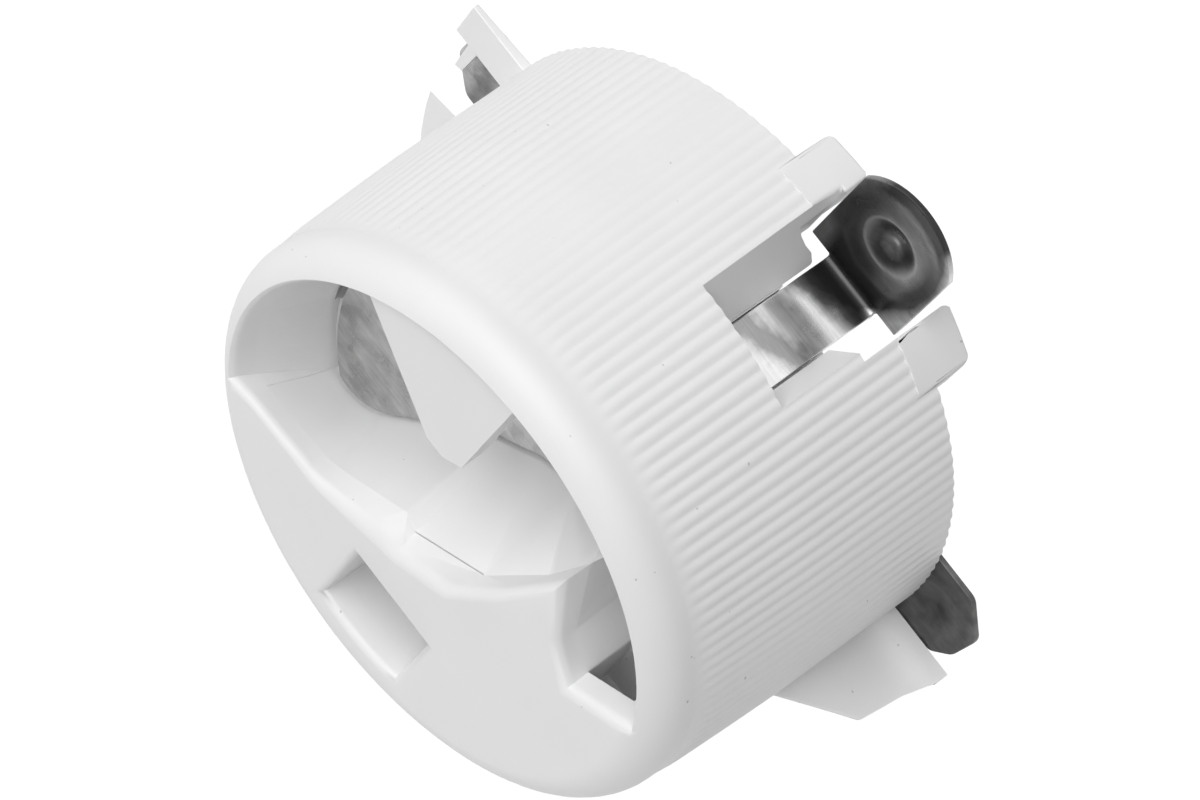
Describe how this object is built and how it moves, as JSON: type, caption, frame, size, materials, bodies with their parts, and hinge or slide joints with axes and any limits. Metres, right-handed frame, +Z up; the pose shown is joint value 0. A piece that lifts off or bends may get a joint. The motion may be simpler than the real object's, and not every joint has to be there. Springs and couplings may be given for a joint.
{
  "type": "twist-in lamp holder",
  "caption": "Moulded lamp holder with a ribbed grip cap, a contact carrier with a bayonet lamp seat and spring contact tabs round its rim.",
  "frame": {"origin": "on the holder's axis, in the plane of the cap's lamp end, which seats on the lamp housing", "axes": "+Y along the holder's axis from the grip end to the lamp end, +Z up through the top contact, +X across to the right as seen from the grip end"},
  "size_m": [0.0574, 0.0315, 0.0531],
  "materials": {
    "cap_plastic": "satin white moulding",
    "carrier_plastic": "satin white moulding",
    "contact_metal": "bright tinned sheet with pressing marks"
  },
  "bodies": {
    "root": {"grip_cap": "cap_plastic", "contact_carrier": "carrier_plastic", "top_contact": "contact_metal", "left_contact": "contact_metal", "right_contact": "contact_metal"}
  },
  "joints": []
}
